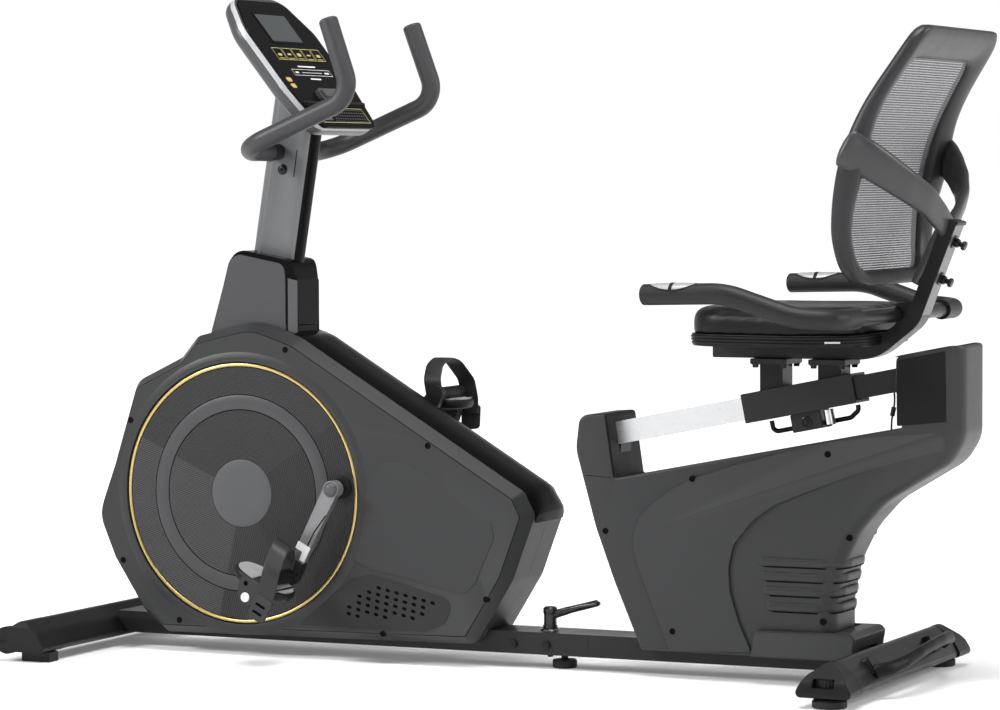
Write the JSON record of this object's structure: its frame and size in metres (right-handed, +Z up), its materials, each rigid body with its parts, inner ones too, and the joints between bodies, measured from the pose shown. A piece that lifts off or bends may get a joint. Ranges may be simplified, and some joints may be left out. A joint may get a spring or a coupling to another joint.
{
  "type": "recumbent exercise bike",
  "caption": "Recumbent exercise bike with a round-disc drive housing, raked mast and console, sliding seat on an inclined rail and a mesh backrest.",
  "frame": {"origin": "on the floor, below the middle of the overall box", "axes": "+X towards the rear of the bike, +Y to the right of the seated rider, +Z up"},
  "size_m": [1.68, 0.696, 1.1505],
  "materials": {
    "housing": "satin charcoal",
    "gloss_black": "gloss black",
    "satin_plastic": "satin",
    "black_plastic": "fine grain",
    "white_plastic": "plain",
    "back_shell": "fine grain",
    "mesh": "open weave",
    "black_steel": "black powder coat",
    "mast_paint": "satin grey",
    "bright_steel": "bright zinc",
    "fastener": "black oxide",
    "cast_iron": "turned",
    "crank": "satin grey",
    "lever": "black",
    "silver_plastic": "silver paint",
    "button": "gold",
    "foam": "closed-cell foam",
    "belt": "plain",
    "rubber": "plain",
    "strap": "soft",
    "lead": "sheathed",
    "chrome": "polished",
    "aluminium": "brushed",
    "leather": "grained",
    "disc": "finely grooved",
    "gold": "metallic gold"
  },
  "bodies": {
    "chassis": {"front_frame": "black_steel", "front_shell_left": "housing", "front_shell_right": "housing", "centre_strip": "gloss_black", "side_discs": "disc", "trim_rings": "gold", "shell_screws": "fastener", "mast": "mast_paint", "mast_cover": "housing", "console_back": "silver_plastic", "console_face": "gloss_black", "handlebar": "black_steel", "handlebar_foam": "foam", "handlebar_clamp": "black_steel", "bearings": "bright_steel", "drive_belt": "belt", "brake_arm": "black_steel", "front_stabiliser": "black_steel", "front_end_caps": "black_plastic", "foot_pads": "rubber", "frame_bolts": "fastener", "rear_frame": "black_steel", "rear_shell_left": "housing", "rear_shell_right": "housing", "rear_foot_cover": "housing", "rear_stabiliser": "black_steel", "rear_end_caps": "black_plastic", "carry_handle": "black_plastic", "rail": "aluminium", "signal_lead": "lead"},
    "crank": {"crank_axle": "bright_steel", "drive_pulley": "black_plastic", "crank_arms": "crank", "pedal_spindles": "bright_steel"},
    "left_pedal": {"pedal_left": "black_plastic", "pedal_strap_left": "strap"},
    "right_pedal": {"pedal_right": "black_plastic", "pedal_strap_right": "strap"},
    "flywheel": {"flywheel": "cast_iron"},
    "seat": {"carriage": "black_steel", "carriage_rollers": "white_plastic", "latch_box": "black_steel", "seat_frame": "black_steel", "seat_base": "black_plastic", "seat_pad": "leather", "seat_handlebar": "black_steel", "seat_grips": "foam", "pulse_plates": "chrome", "backrest_frame": "back_shell", "backrest_bracket": "satin_plastic", "backrest_mesh": "mesh", "seat_bolts": "fastener"},
    "release_bar": {"release_bar": "bright_steel"},
    "clamp_lever": {"clamp_lever": "lever"},
    "left_transport_wheel": {"transport_wheel_left": "black_plastic"},
    "right_transport_wheel": {"transport_wheel_right": "black_plastic"},
    "left_leveller": {"leveller_left": "rubber"},
    "right_leveller": {"leveller_right": "rubber"},
    "upper_button": {"button_upper": "button"},
    "lower_button": {"button_lower": "button"}
  },
  "joints": [
    {"name": "crank_spin", "type": "hinge", "parent": "chassis", "child": "crank", "pos_m": [-0.27, 0, 0.303], "axis": [0, 1, 0], "continuous": true},
    {"name": "left_pedal_spin", "type": "hinge", "parent": "crank", "child": "left_pedal", "pos_m": [-0.3485, 0, 0.15221], "axis": [0, 1, 0], "continuous": true},
    {"name": "right_pedal_spin", "type": "hinge", "parent": "crank", "child": "right_pedal", "pos_m": [-0.1915, 0, 0.45379], "axis": [0, 1, 0], "continuous": true},
    {"name": "flywheel_spin", "type": "hinge", "parent": "chassis", "child": "flywheel", "pos_m": [-0.50513, 0, 0.287], "axis": [0, 1, 0], "continuous": true},
    {"name": "seat_slide", "type": "slide", "parent": "chassis", "child": "seat", "axis": [0.9807, 0, 0.1954], "range_m": [-0.2, 0.035]},
    {"name": "release_pull", "type": "slide", "parent": "seat", "child": "release_bar", "axis": [0.1954, 0, -0.9807], "range_m": [0, 0.007], "stiffness_N_per_m": 900, "springref_m": -0.005},
    {"name": "clamp_turn", "type": "hinge", "parent": "chassis", "child": "clamp_lever", "pos_m": [0.084, 0, 0.09], "axis": [0, 0, 1], "range_deg": [-100, 100]},
    {"name": "left_wheel_spin", "type": "hinge", "parent": "chassis", "child": "left_transport_wheel", "pos_m": [-0.816, -0.3, 0.0365], "axis": [0, 1, 0], "continuous": true},
    {"name": "right_wheel_spin", "type": "hinge", "parent": "chassis", "child": "right_transport_wheel", "pos_m": [-0.816, 0.3, 0.0365], "axis": [0, 1, 0], "continuous": true},
    {"name": "left_leveller_turn", "type": "hinge", "parent": "chassis", "child": "left_leveller", "pos_m": [0.69, -0.274, 0.03], "axis": [0, 0, 1], "continuous": true},
    {"name": "right_leveller_turn", "type": "hinge", "parent": "chassis", "child": "right_leveller", "pos_m": [0.69, 0.274, 0.03], "axis": [0, 0, 1], "continuous": true},
    {"name": "upper_button_press", "type": "slide", "parent": "chassis", "child": "upper_button", "axis": [-0.7804, 0, -0.6253], "range_m": [0, 0.001], "stiffness_N_per_m": 400, "springref_m": -0.001},
    {"name": "lower_button_press", "type": "slide", "parent": "chassis", "child": "lower_button", "axis": [-0.7804, 0, -0.6253], "range_m": [0, 0.001], "stiffness_N_per_m": 400, "springref_m": -0.001}
  ],
  "couplings": [
    {"joint": "flywheel_spin", "follows": "crank_spin", "ratio": 5}
  ]
}
